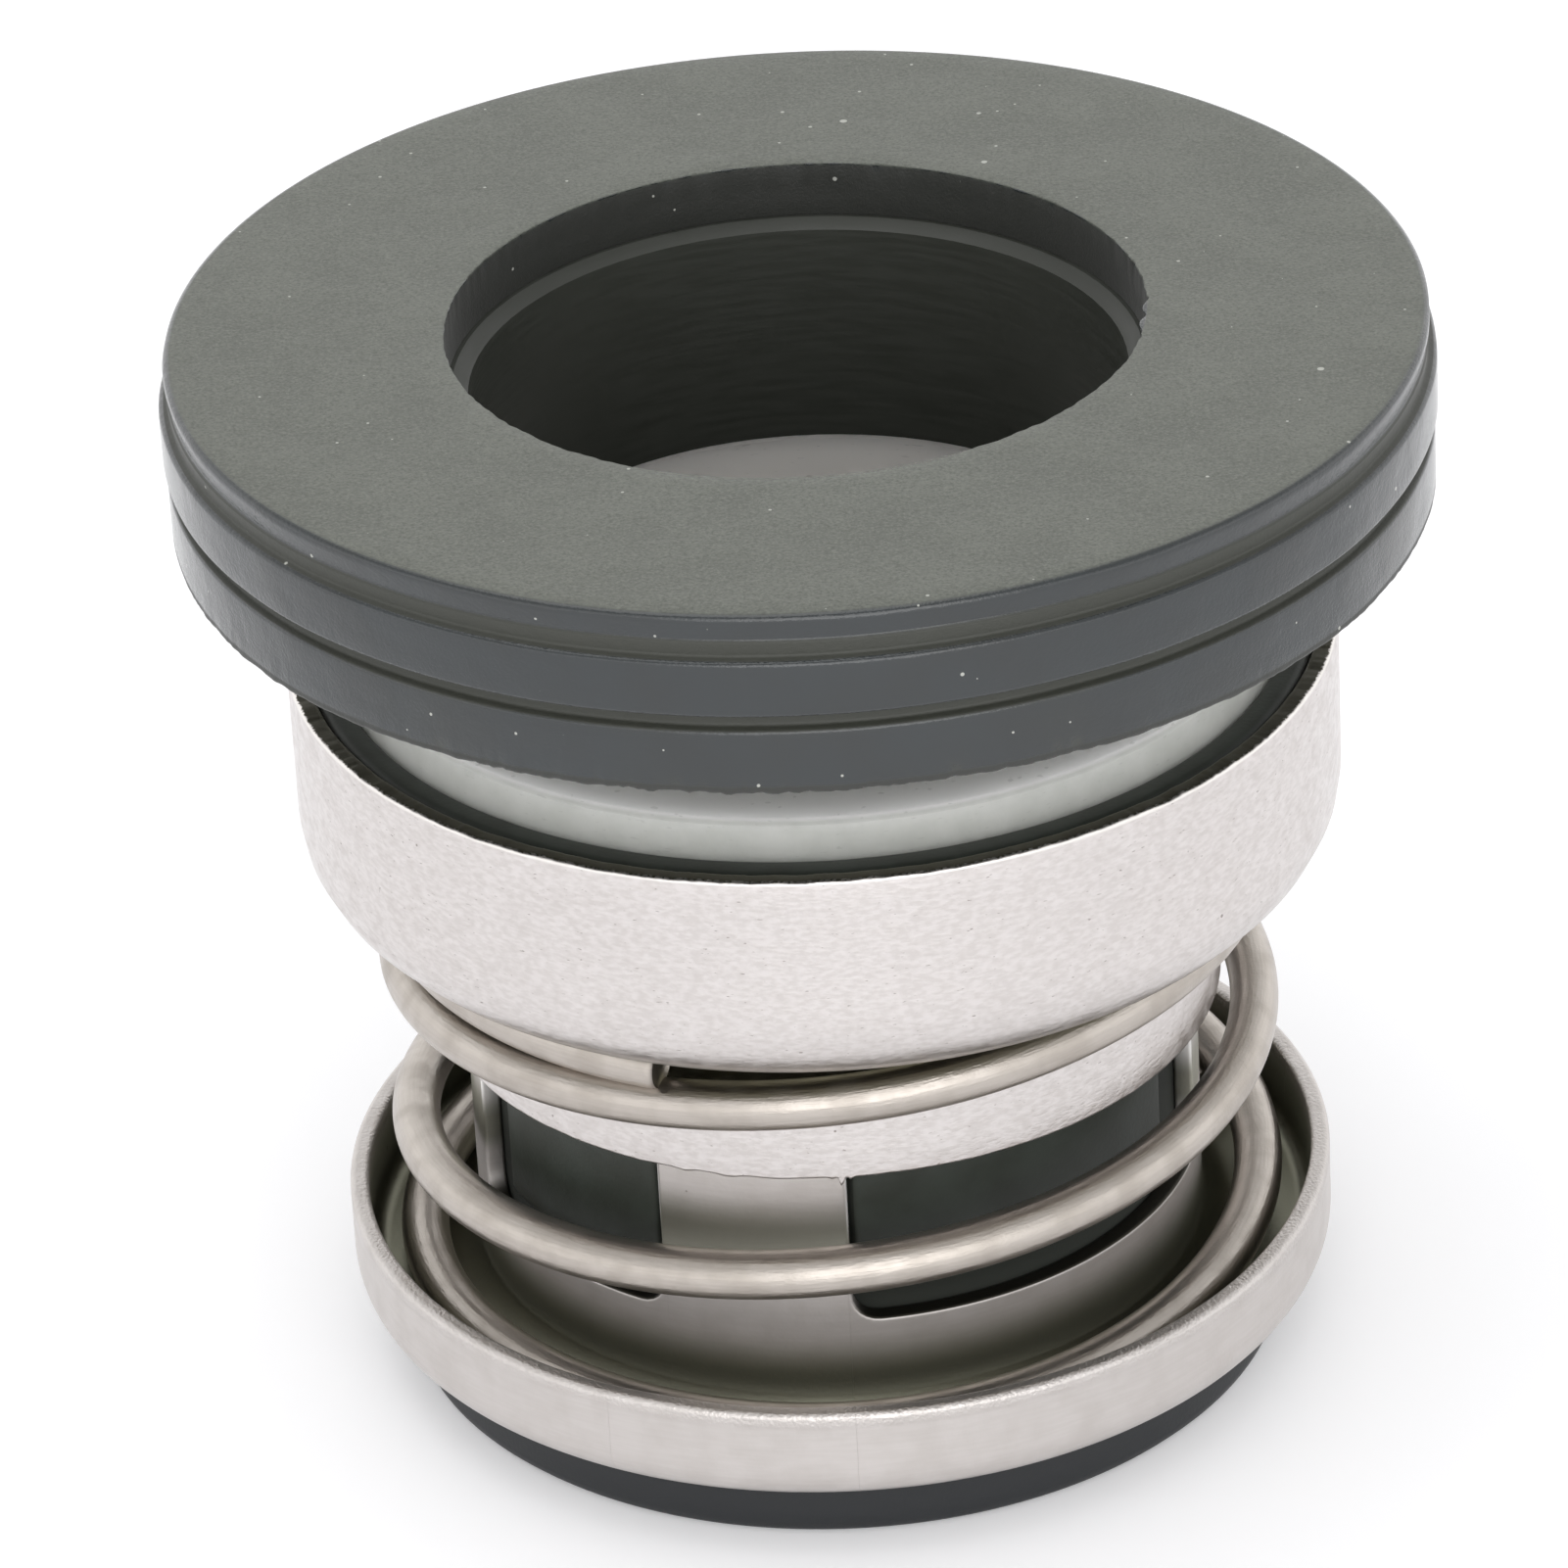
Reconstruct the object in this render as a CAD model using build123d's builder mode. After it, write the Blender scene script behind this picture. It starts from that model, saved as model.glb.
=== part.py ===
"""Component mechanical seal for a 16 mm shaft: stationary seat above, rotary head below.

Millimetres. The shaft axis is Z and the foot of the rubber bellows stands on Z = 0.
From the bottom up: bellows foot, spring cup, coil spring, steel shell with the face ring
in its rubber seat, and on top the carbon seat ring in its rubber cup.
"""
import os
from math import cos, radians, sin

from build123d import *

# ---- sizes set by the machine that the seal fits ----
SHAFT_DIAMETER = 16.0
HOUSING_BORE = 32.0

# ---- heights, stacked from the foot upwards ----
FOOT_THICKNESS = 1.8
SHEET = 0.5
SPRING_LENGTH = 11.85
SHELL_HEIGHT = 6.3
RING_BED = 2.75
FACE_RING_THICKNESS = 4.0
SEAT_RING_THICKNESS = 6.2
SEAT_CUP_BACK = 1.5
SEAT_CUP_HEIGHT = 4.75

# ---- rubber bellows ----
TAIL_WALL = 1.08
FOLD_WALL = 0.8
FOLD_HEIGHT = 2.2
FOLD_BULGE = 0.5
FOOT_DIAMETER = 23.3
FOOT_ROUND = 0.4
LIP_WALL = 0.8
LIP_DROP = 0.3
LIP_ROUND = 0.26
LUG_PROUD = 0.4
LUG_GAP_ANGLE = 9.0
LUG_SNUG_ANGLE = 0.6
LUG_HEIGHT = 6.0
BORE_LEAD = 0.4

# ---- spring cup, with its windowed sleeve ----
CUP_DEPTH = 2.65
CUP_CORNER = 0.95
CHANNEL_ROUND = 1.1
SLEEVE_BAND = 2.9
TONGUE_LENGTH = 6.2
TONGUE_WIDTH = 30.0
TONGUE_PAIR_ANGLE = 105.0
TONGUE_TURN = -104.2
WINDOW_ROUND = 0.7

# ---- spring ----
WIRE = 1.2
CLOSED_TURNS = 0.76
ACTIVE_TURNS = 2.1
COIL_START = -113.0
POINTS_PER_TURN = 24

# ---- shell ----
SHELL_SHOULDER = 2.0
SKIRT_LENGTH = 4.3
SKIRT_BEND = 0.4

# ---- face ring and seat ring ----
FACE_RING_WALL = 3.7
FACE_RING_PLAY = 0.45
SEAT_RING_PLAY = 0.35
SEAT_NOSE_WALL = 1.65
SEAT_RING_HEAD = 3.1
SEAT_RING_DIAMETER = 26.4
BORE_CHAMFER = 0.4
BORE_CHAMFER_DEPTH = 0.2
EDGE_CHAMFER = 0.15

# ---- rubber seat cup ----
SEAT_CUP_SQUEEZE = 0.12
END_RIB_DROP = 0.07
SEAT_CUP_HOLE_PLAY = 0.85
RIB_DEPTH = 0.3
TOP_RIB = 0.8
MIDDLE_RIB = 1.55
RIB_GAP = 0.36
RIB_ROUND = 0.22
TOP_ROUND = 0.5

# ---- clearances ----
SNUG = 0.02
SLIDE = 0.15
COIL_PLAY = 0.25
CUP_PLAY = 0.8

# ---- radii that follow ----
SHAFT_R = SHAFT_DIAMETER / 2
TAIL_R = SHAFT_R + TAIL_WALL
SLEEVE_IN = TAIL_R + SNUG
SLEEVE_R = SLEEVE_IN + SHEET
SKIRT_IN = SLEEVE_R + SLIDE
SKIRT_R = SKIRT_IN + SHEET
COIL_R = SKIRT_R + COIL_PLAY + WIRE / 2
CUP_IN = COIL_R + WIRE / 2 + CUP_PLAY
CUP_R = CUP_IN + SHEET
FACE_RING_IN = SHAFT_R + FACE_RING_PLAY
FACE_RING_R = FACE_RING_IN + FACE_RING_WALL
LIP_IN = FACE_RING_R + SNUG
LIP_R = LIP_IN + LIP_WALL
SHELL_IN = LIP_R + SNUG
SHELL_R = SHELL_IN + SHEET
SEAT_BORE_R = SHAFT_R + SEAT_RING_PLAY
SEAT_NOSE_R = SEAT_BORE_R + SEAT_NOSE_WALL
SEAT_RING_R = SEAT_RING_DIAMETER / 2
SEAT_CUP_IN = SEAT_RING_R + SNUG
SEAT_CUP_HOLE = SHAFT_R + SEAT_CUP_HOLE_PLAY
RIB_R = HOUSING_BORE / 2 + SEAT_CUP_SQUEEZE
END_RIB_R = RIB_R - END_RIB_DROP
GROOVE_R = RIB_R - RIB_DEPTH

# ---- heights that follow ----
CUP_FLOOR_Z = FOOT_THICKNESS + SHEET
CUP_RIM_Z = FOOT_THICKNESS + CUP_DEPTH
SILL_Z = CUP_FLOOR_Z + SLEEVE_BAND
TONGUE_TOP_Z = SILL_Z + TONGUE_LENGTH
PLATE_Z = CUP_FLOOR_Z + SPRING_LENGTH
BED_Z = PLATE_Z + SHEET
SKIRT_Z = PLATE_Z - SKIRT_LENGTH
RIM_Z = PLATE_Z + SHELL_HEIGHT
RING_Z = BED_Z + RING_BED
FACE_Z = RING_Z + FACE_RING_THICKNESS
SEAT_BACK_Z = FACE_Z + SEAT_RING_THICKNESS
TOP_Z = SEAT_BACK_Z + SEAT_CUP_BACK
SEAT_CUP_Z = TOP_Z - SEAT_CUP_HEIGHT
SEAT_HEAD_Z = SEAT_BACK_Z - SEAT_RING_HEAD

TONGUE_AZIMUTHS = [
    TONGUE_TURN,
    TONGUE_TURN + TONGUE_PAIR_ANGLE,
    TONGUE_TURN + 180,
    TONGUE_TURN + 180 + TONGUE_PAIR_ANGLE,
]


def radial_plane(azimuth):
    """Upright plane through the axis, with its local x pointing out along the azimuth."""
    across = Vector(cos(radians(azimuth)), sin(radians(azimuth)), 0)
    return Plane(origin=(0, 0, 0), x_dir=across, z_dir=across.cross(Vector(0, 0, 1)))


def round_corner(section, r, z, radius):
    """Round the corner of a section that lies at radius r and height z."""
    fillet(section.vertices().sort_by_distance(Vector(r, z, 0))[0], radius)


def break_corner(section, r, z, size=EDGE_CHAMFER):
    """Chamfer the corner of a section that lies at radius r and height z."""
    chamfer(section.vertices().sort_by_distance(Vector(r, z, 0))[0], size)


def ring_sector(radii, heights, azimuths, mode):
    """Add or cut a sector of a ring between two radii, two heights and two azimuths."""
    with BuildSketch(radial_plane(azimuths[0])) as section:
        with Locations((sum(radii) / 2, sum(heights) / 2)):
            Rectangle(radii[1] - radii[0], heights[1] - heights[0])
    revolve(section.sketch, axis=Axis.Z, revolution_arc=azimuths[1] - azimuths[0], mode=mode)


def window_azimuths():
    """Start and end azimuth of each window between two neighbouring tongues."""
    starts = TONGUE_AZIMUTHS
    ends = TONGUE_AZIMUTHS[1:] + [TONGUE_AZIMUTHS[0] + 360]
    return [(start + TONGUE_WIDTH / 2, end - TONGUE_WIDTH / 2) for start, end in zip(starts, ends)]


def coil_point(turn):
    """Point of the wire's centre line, turn by turn down from the upper end."""
    drop = min(max((turn - CLOSED_TURNS) / ACTIVE_TURNS, 0), 1)
    azimuth = radians(COIL_START - 360 * turn)
    z = PLATE_Z - SNUG - WIRE / 2 - drop * (SPRING_LENGTH - 2 * SNUG - WIRE)
    return (COIL_R * cos(azimuth), COIL_R * sin(azimuth), z)


# ---- rubber bellows: foot, tail, fold and the bed of the face ring, moulded as one ----
with BuildPart() as bellows:
    fold_top = BED_Z - SNUG
    fold_low = fold_top - FOLD_HEIGHT
    fold_mid = (fold_top + fold_low) / 2
    fold_in = TAIL_R - FOLD_WALL
    with BuildSketch(Plane.XZ) as bellows_section:
        with BuildLine():
            Polyline(
                (SHAFT_R, BORE_LEAD),
                (SHAFT_R + BORE_LEAD, 0),
                (FOOT_DIAMETER / 2, 0),
                (FOOT_DIAMETER / 2, FOOT_THICKNESS),
                (TAIL_R, FOOT_THICKNESS),
                (TAIL_R, fold_low),
            )
            ThreePointArc((TAIL_R, fold_low), (TAIL_R + FOLD_BULGE, fold_mid), (TAIL_R, fold_top))
            Polyline(
                (TAIL_R, fold_top),
                (TAIL_R, BED_Z),
                (LIP_R, BED_Z),
                (LIP_R, RIM_Z - LIP_DROP),
                (LIP_IN, RIM_Z - LIP_DROP),
                (LIP_IN, RING_Z),
                (FACE_RING_IN, RING_Z),
                (fold_in, fold_top),
            )
            ThreePointArc((fold_in, fold_top), (fold_in + FOLD_BULGE, fold_mid), (fold_in, fold_low))
            Polyline((fold_in, fold_low), (SHAFT_R, SILL_Z), (SHAFT_R, BORE_LEAD))
        make_face()
        round_corner(bellows_section, LIP_R, BED_Z, SHELL_SHOULDER - SHEET + 2 * SNUG)
        round_corner(bellows_section, LIP_R, RIM_Z - LIP_DROP, LIP_ROUND)
        round_corner(bellows_section, FOOT_DIAMETER / 2, 0, FOOT_ROUND)
    revolve(axis=Axis.Z)
    for number, (start, end) in enumerate(window_azimuths()):
        gaps = (LUG_SNUG_ANGLE, LUG_GAP_ANGLE) if number % 2 == 0 else (LUG_GAP_ANGLE, LUG_SNUG_ANGLE)
        ring_sector(
            (TAIL_R - LUG_PROUD, TAIL_R + LUG_PROUD),
            (SILL_Z + WINDOW_ROUND, SILL_Z + LUG_HEIGHT),
            (start + gaps[0], end - gaps[1]),
            Mode.ADD,
        )
bellows.part.label = "bellows"

# ---- spring cup: a pressed channel for the spring, with a windowed sleeve over the tail ----
with BuildPart() as spring_cup:
    with BuildSketch(Plane.XZ) as cup_section:
        with BuildLine():
            Polyline(
                (SLEEVE_IN, FOOT_THICKNESS),
                (CUP_R, FOOT_THICKNESS),
                (CUP_R, CUP_RIM_Z),
                (CUP_IN, CUP_RIM_Z),
                (CUP_IN, CUP_FLOOR_Z),
                (SLEEVE_R, CUP_FLOOR_Z),
                (SLEEVE_R, TONGUE_TOP_Z),
                (SLEEVE_IN, TONGUE_TOP_Z),
                close=True,
            )
        make_face()
        round_corner(cup_section, CUP_R, FOOT_THICKNESS, CUP_CORNER)
        round_corner(cup_section, CUP_IN, CUP_FLOOR_Z, CUP_CORNER - SHEET)
        round_corner(cup_section, SLEEVE_R, CUP_FLOOR_Z, CHANNEL_ROUND)
        round_corner(cup_section, SLEEVE_IN, FOOT_THICKNESS, CHANNEL_ROUND + SHEET)
    revolve(axis=Axis.Z)
    for window in window_azimuths():
        ring_sector(
            (SLEEVE_IN - SHEET, SLEEVE_R + SHEET),
            (SILL_Z, TONGUE_TOP_Z + SHEET),
            window,
            Mode.SUBTRACT,
        )
    sill_edges = spring_cup.edges().filter_by(lambda edge: abs(edge.length - SHEET) < SNUG)
    fillet(sill_edges.filter_by_position(Axis.Z, SILL_Z - SNUG, TONGUE_TOP_Z + SNUG), WINDOW_ROUND)
spring_cup.part.label = "spring_cup"

# ---- coil spring, closed at both ends, wound right-handed ----
with BuildPart() as spring:
    with BuildLine() as wire_path:
        steps = round((2 * CLOSED_TURNS + ACTIVE_TURNS) * POINTS_PER_TURN)
        Spline(*[coil_point(step / POINTS_PER_TURN) for step in range(steps + 1)])
    with BuildSketch(wire_path.line ^ 0):
        Circle(WIRE / 2)
    sweep()
spring.part.label = "spring"

# ---- shell: deep-drawn steel case of the face ring, with a skirt that guides the sleeve ----
with BuildPart() as shell:
    with BuildSketch(Plane.XZ) as shell_section:
        with BuildLine():
            Polyline(
                (SKIRT_IN, SKIRT_Z),
                (SKIRT_R, SKIRT_Z),
                (SKIRT_R, PLATE_Z),
                (SHELL_R, PLATE_Z),
                (SHELL_R, RIM_Z),
                (SHELL_IN, RIM_Z),
                (SHELL_IN, BED_Z),
                (SKIRT_IN, BED_Z),
                close=True,
            )
        make_face()
        round_corner(shell_section, SKIRT_R, PLATE_Z, SKIRT_BEND)
        round_corner(shell_section, SKIRT_IN, BED_Z, SKIRT_BEND + SHEET / 2)
        round_corner(shell_section, SHELL_R, PLATE_Z, SHELL_SHOULDER)
        round_corner(shell_section, SHELL_IN, BED_Z, SHELL_SHOULDER - SHEET)
    revolve(axis=Axis.Z)
shell.part.label = "shell"

# ---- ceramic face ring, flat and lapped on its upper face ----
with BuildPart() as face_ring:
    with BuildSketch(Plane.XZ) as face_section:
        with Locations(((FACE_RING_IN + FACE_RING_R) / 2, (RING_Z + FACE_Z) / 2)):
            Rectangle(FACE_RING_R - FACE_RING_IN, FACE_Z - RING_Z)
        for r in (FACE_RING_IN, FACE_RING_R):
            break_corner(face_section, r, FACE_Z)
            break_corner(face_section, r, RING_Z)
    revolve(axis=Axis.Z)
face_ring.part.label = "face_ring"

# ---- carbon seat ring: a head held by the rubber cup and a narrower running nose ----
with BuildPart() as seat_ring:
    with BuildSketch(Plane.XZ) as seat_section:
        with BuildLine():
            Polyline(
                (SEAT_BORE_R, FACE_Z),
                (SEAT_NOSE_R, FACE_Z),
                (SEAT_NOSE_R, SEAT_HEAD_Z),
                (SEAT_RING_R, SEAT_HEAD_Z),
                (SEAT_RING_R, SEAT_BACK_Z),
                (SEAT_BORE_R + BORE_CHAMFER, SEAT_BACK_Z),
                (SEAT_BORE_R, SEAT_BACK_Z - BORE_CHAMFER_DEPTH),
                close=True,
            )
        make_face()
        break_corner(seat_section, SEAT_NOSE_R, FACE_Z)
        break_corner(seat_section, SEAT_RING_R, SEAT_HEAD_Z)
    revolve(axis=Axis.Z)
seat_ring.part.label = "seat_ring"

# ---- rubber seat cup: grips the seat ring inside and the housing with its three ribs ----
with BuildPart() as seat_cup:
    top_rib_z = TOP_Z - TOP_RIB
    middle_rib_z = top_rib_z - RIB_GAP
    lower_gap_z = middle_rib_z - MIDDLE_RIB
    lower_rib_z = lower_gap_z - RIB_GAP
    with BuildSketch(Plane.XZ) as cup_rubber:
        with BuildLine():
            Polyline(
                (SEAT_CUP_HOLE, SEAT_BACK_Z),
                (SEAT_CUP_HOLE, TOP_Z),
                (END_RIB_R, TOP_Z),
                (END_RIB_R, top_rib_z),
                (GROOVE_R, top_rib_z),
                (GROOVE_R, middle_rib_z),
                (RIB_R, middle_rib_z),
                (RIB_R, lower_gap_z),
                (GROOVE_R, lower_gap_z),
                (GROOVE_R, lower_rib_z),
                (END_RIB_R, lower_rib_z),
                (END_RIB_R, SEAT_CUP_Z),
                (SEAT_CUP_IN, SEAT_CUP_Z),
                (SEAT_CUP_IN, SEAT_BACK_Z),
                close=True,
            )
        make_face()
        round_corner(cup_rubber, END_RIB_R, TOP_Z, TOP_ROUND)
        round_corner(cup_rubber, SEAT_CUP_HOLE, TOP_Z, EDGE_CHAMFER)
        for r, z in (
            (END_RIB_R, top_rib_z),
            (RIB_R, middle_rib_z),
            (RIB_R, lower_gap_z),
            (END_RIB_R, lower_rib_z),
            (END_RIB_R, SEAT_CUP_Z),
        ):
            round_corner(cup_rubber, r, z, RIB_ROUND)
    revolve(axis=Axis.Z)
seat_cup.part.label = "seat_cup"

os.makedirs("parts", exist_ok=True)
for piece in (bellows, spring_cup, spring, shell, face_ring, seat_ring, seat_cup):
    export_step(piece.part, f"parts/{piece.part.label}.step")
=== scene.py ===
"""Dressed model of a component mechanical seal: stationary seat, sprung head and bellows.

Lengths in the classes are millimetres, and the meshes are metres.
"""
import logging
from dataclasses import dataclass, field
from enum import Enum

import bpy
import numpy as np
from mathutils import Matrix


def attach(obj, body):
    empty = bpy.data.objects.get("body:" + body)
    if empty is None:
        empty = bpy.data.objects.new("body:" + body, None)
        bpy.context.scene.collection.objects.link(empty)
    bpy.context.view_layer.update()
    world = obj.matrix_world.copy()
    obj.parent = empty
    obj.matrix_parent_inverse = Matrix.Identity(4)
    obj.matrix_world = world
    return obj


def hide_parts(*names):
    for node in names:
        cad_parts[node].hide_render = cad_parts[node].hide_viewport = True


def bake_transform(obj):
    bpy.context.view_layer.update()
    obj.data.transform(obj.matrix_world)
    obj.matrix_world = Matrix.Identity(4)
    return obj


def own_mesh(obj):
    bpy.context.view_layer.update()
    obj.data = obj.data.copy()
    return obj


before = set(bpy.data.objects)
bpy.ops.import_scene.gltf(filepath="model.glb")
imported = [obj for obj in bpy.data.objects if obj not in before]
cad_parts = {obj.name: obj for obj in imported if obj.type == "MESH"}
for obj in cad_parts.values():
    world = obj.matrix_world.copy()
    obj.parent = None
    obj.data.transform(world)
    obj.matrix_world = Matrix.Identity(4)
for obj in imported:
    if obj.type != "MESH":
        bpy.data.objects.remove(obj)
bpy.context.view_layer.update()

LOG = logging.getLogger("seal")
MM = 0.001
TAU = 2 * np.pi
WHITE = "ffffff"

Socket = bpy.types.NodeSocket
Pair = tuple[float, float]


class Body(Enum):
    """The three bodies that move against each other."""

    DRIVE = "drive"
    HEAD = "head"
    SEAT = "seat"


# ---- colour and nodes


def linear(hex_code: str) -> tuple[float, float, float, float]:
    """Turn an sRGB hex value into linear red, green, blue and a full alpha.

    Args:
        hex_code: Six hexadecimal digits.

    Returns:
        Linear colour: each channel c becomes c / 12.92 below 0.04045 and
        ((c + 0.055) / 1.055) to the power 2.4 above it.
    """
    srgb = np.array([int(hex_code[i : i + 2], 16) for i in (0, 2, 4)]) / 255
    rgb = np.where(srgb <= 0.04045, srgb / 12.92, ((srgb + 0.055) / 1.055) ** 2.4)
    return (*(float(c) for c in rgb), 1.0)


def add_node(
    tree: bpy.types.NodeTree, kind: str, inputs: dict | None = None, **settings: object
) -> bpy.types.Node:
    """Add one shader node with its settings and its links.

    Args:
        tree: Node tree that gets the node.
        kind: Blender's name of the node type.
        inputs: Socket name or number to a constant, or to the output socket to link.
        settings: Attributes of the node itself.

    Returns:
        The new node.
    """
    node = tree.nodes.new(kind)
    for name, value in settings.items():
        setattr(node, name, value)
    for name, value in (inputs or {}).items():
        if isinstance(value, Socket):
            tree.links.new(value, node.inputs[name])
        else:
            node.inputs[name].default_value = value
    return node


class Surface:
    """A material under work: its tree, its shader and its millimetre coordinates."""

    def __init__(
        self, name: str, color: str, roughness: float, metallic: float = 0.0, ior: float = 1.5
    ) -> None:
        """Start a material.

        Args:
            name: Name of the real material and its finish.
            color: Base colour, sRGB hex.
            roughness: Mean roughness of the shader.
            metallic: 1 for bare metal.
            ior: Refractive index of a non-metal.
        """
        self.material = bpy.data.materials.new(name)
        self.material.use_nodes = True
        self.material.diffuse_color = linear(color)
        self.tree = self.material.node_tree
        self.tree.nodes.clear()
        constants = {"Base Color": linear(color), "Roughness": roughness, "Metallic": metallic, "IOR": ior}
        self.shader = self.node("ShaderNodeBsdfPrincipled", constants)
        self.output = self.node("ShaderNodeOutputMaterial", {"Surface": self.shader.outputs[0]})
        place = self.node("ShaderNodeTexCoord").outputs["Object"]
        self.mm = self.node("ShaderNodeMapping", {"Vector": place, "Scale": (1 / MM,) * 3}).outputs[0]

    def node(self, kind: str, inputs: dict | None = None, **settings: object) -> bpy.types.Node:
        """Add a node to this material's tree."""
        return add_node(self.tree, kind, inputs, **settings)

    def noise(
        self, vector: Socket, squeeze: tuple, scale: float, detail: float, rough: float = 0.5
    ) -> Socket:
        """Fractal noise on a vector times a squeeze, with values near 0.5."""
        squeezed = self.node("ShaderNodeMapping", {"Vector": vector, "Scale": squeeze}).outputs[0]
        inputs = {"Vector": squeezed, "Scale": scale, "Detail": detail, "Roughness": rough}
        return self.node("ShaderNodeTexNoise", inputs).outputs["Fac"]

    def grain(
        self, size: float, detail: float = 3.0, stretch: tuple = (1, 1, 1), rough: float = 0.5
    ) -> Socket:
        """Noise with grains of a real size.

        Args:
            size: Width of a grain in millimetres.
            detail: Octaves of finer noise.
            stretch: How many times longer the grains are along X, Y and Z.
            rough: Share of each finer octave.

        Returns:
            Socket with values near 0.5.
        """
        return self.noise(self.mm, tuple(1 / s for s in stretch), 1 / size, detail, rough)

    def remap(
        self, value: Socket, low: float, high: float, to_low: float = 0.0, to_high: float = 1.0
    ) -> Socket:
        """Map the range low to high onto to_low to to_high, smoothly and clamped."""
        settings = {"Value": value, "From Min": low, "From Max": high, "To Min": to_low, "To Max": to_high}
        return self.node("ShaderNodeMapRange", settings, interpolation_type="SMOOTHSTEP").outputs[0]

    def math(self, operation: str, first: object, *others: object) -> Socket:
        """Combine values from left to right with one arithmetic operation."""
        for other in others or (0.0,):
            first = self.node("ShaderNodeMath", {0: first, 1: other}, operation=operation).outputs[0]
        return first

    def mix(self, factor: Socket, a: Socket | str, b: Socket | str, share: float = 1.0) -> Socket:
        """Mix colour a towards colour b by a share of a factor.

        Args:
            factor: Socket with values from 0 to 1.
            a: Colour at 0, as a socket or an sRGB hex value.
            b: Colour at 1, as a socket or an sRGB hex value.
            share: Number that the factor is multiplied by.

        Returns:
            Socket with the mixed colour.
        """
        amount = factor if share == 1.0 else self.math("MULTIPLY", factor, share)
        colors = {6 + k: linear(c) if isinstance(c, str) else c for k, c in enumerate((a, b))}
        return self.node("ShaderNodeMix", {0: amount, **colors}, data_type="RGBA").outputs[2]

    def zone(self, *limits: tuple[Socket, Pair]) -> Socket:
        """Zone where each value is past its range: the product of the remaps."""
        return self.math("MULTIPLY", *(self.remap(value, *span) for value, span in limits))

    def specks(self, cell: float, radius: float, share: float) -> Socket:
        """Scattered dots, one at most in each cell.

        Args:
            cell: Spacing of the cells in millimetres.
            radius: Largest radius of a dot in millimetres.
            share: Share of the cells that hold a dot.

        Returns:
            Socket that is 1 in a dot and 0 elsewhere: the distance from the cell's point is
            compared with a radius that the cell's own random value sets.
        """
        cells = self.node("ShaderNodeTexVoronoi", {"Vector": self.mm, "Scale": 1 / cell, "Randomness": 1.0})
        chance = self.node("ShaderNodeSeparateColor", {0: cells.outputs["Color"]}).outputs[0]
        reach = self.remap(chance, 1 - share, 1.0, 0.0, radius / cell)
        return self.math("GREATER_THAN", reach, cells.outputs["Distance"])

    def bump(self, height: Socket, depth: float, under: bpy.types.Node | None = None) -> bpy.types.Node:
        """Raise the surface by a height map.

        Args:
            height: Socket with values from 0 to 1.
            depth: Height in millimetres that the value 1 stands for.
            under: Bump that lies under this one.

        Returns:
            The bump node, which is linked to the shader.
        """
        inputs = {"Height": height, "Distance": depth * MM, "Strength": 1.0}
        if under:
            inputs["Normal"] = under.outputs[0]
        bump = self.node("ShaderNodeBump", inputs)
        self.tree.links.new(bump.outputs[0], self.shader.inputs["Normal"])
        return bump

    def height_and_distance(self) -> tuple[Socket, Socket]:
        """Height and distance from the shaft axis, in millimetres."""
        parts = self.node("ShaderNodeSeparateXYZ", {0: self.mm}).outputs
        squares = [self.math("MULTIPLY", parts[k], parts[k]) for k in (0, 1)]
        return parts[2], self.math("SQRT", self.math("ADD", *squares))

    def set(self, name: str, value: object) -> None:
        """Link or write one input of the shader."""
        if isinstance(value, Socket):
            self.tree.links.new(value, self.shader.inputs[name])
        else:
            self.shader.inputs[name].default_value = value


# ---- meshes


def waves(turn: np.ndarray, lowest: int, highest: int, seed: int, falloff: float = 0.5) -> np.ndarray:
    """Random periodic ripple.

    Args:
        turn: Azimuths in radians.
        lowest: Fewest waves in a turn.
        highest: Most waves in a turn.
        seed: Seed of the phases.
        falloff: Power by which the waves weaken as their number grows.

    Returns:
        Sum of sines with random phases, scaled to a standard deviation of 1.
    """
    random = np.random.default_rng(seed)
    counts = np.arange(lowest, highest + 1)
    sizes = random.normal(size=counts.size) / counts**falloff
    phases = random.uniform(0, TAU, counts.size)
    total = (sizes * np.sin(np.multiply.outer(turn, counts) + phases)).sum(-1)
    return total / np.sqrt((sizes**2).sum() / 2)


def azimuths(columns: int) -> np.ndarray:
    """Even azimuths of one turn from the X axis on, in radians."""
    return np.linspace(0, TAU, columns, endpoint=False)


@dataclass(frozen=True)
class Nick:
    """One small spot on an edge: its azimuth and width in degrees, its depth in millimetres."""

    azimuth: float
    width: float
    depth: float

    def profile(self, turn: np.ndarray) -> np.ndarray:
        """Bell curve: the depth times e to minus the square of the angle over the width."""
        degrees = (np.degrees(turn) + 180) % 360 - 180
        return self.depth * np.exp(-(((degrees - self.azimuth) / self.width) ** 2))


def gate(value: np.ndarray, low: float, high: float, soft: float) -> np.ndarray:
    """Window that is 1 between low and high and fades to 0 over a soft margin inside them."""
    rise = np.clip((value - low) / soft, 0, 1)
    fall = np.clip((high - value) / soft, 0, 1)
    edge = np.minimum(rise, fall)
    return edge * edge * (3 - 2 * edge)


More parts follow.
